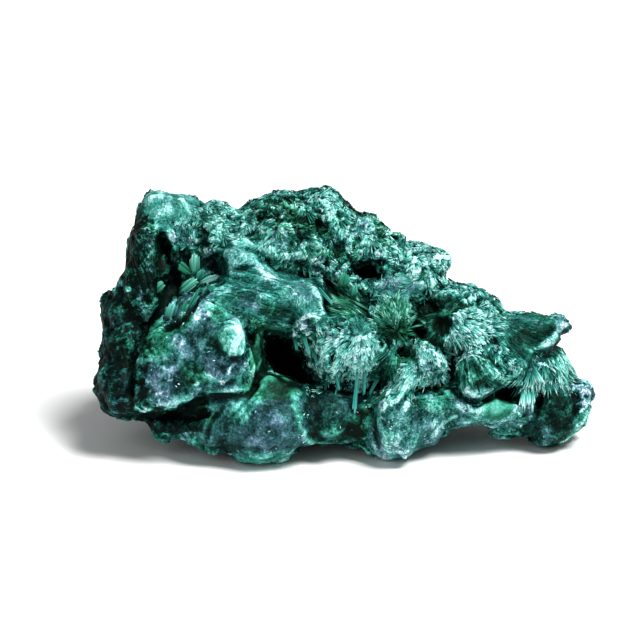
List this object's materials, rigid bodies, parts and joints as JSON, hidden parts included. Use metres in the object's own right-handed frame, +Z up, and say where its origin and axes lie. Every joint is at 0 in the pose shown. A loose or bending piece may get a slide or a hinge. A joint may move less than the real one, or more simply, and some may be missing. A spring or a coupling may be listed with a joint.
{
  "type": "malachite specimen",
  "caption": "Natural chunk of fibrous malachite: a wedge of silky needle sprays, rounded skins and dark hollows, resting on its own underside.",
  "frame": {"origin": "middle of the underside of the bounding box, on the plane that the chunk rests on", "axes": "+X along the chunk's length, from its thick end to its thin end; +Z up; the lobed front faces -Y"},
  "size_m": [0.11, 0.0578, 0.0533],
  "materials": {
    "malachite": "silky needles with matt lumpy skins"
  },
  "bodies": {
    "root": {"malachite_specimen": "malachite"}
  },
  "joints": []
}
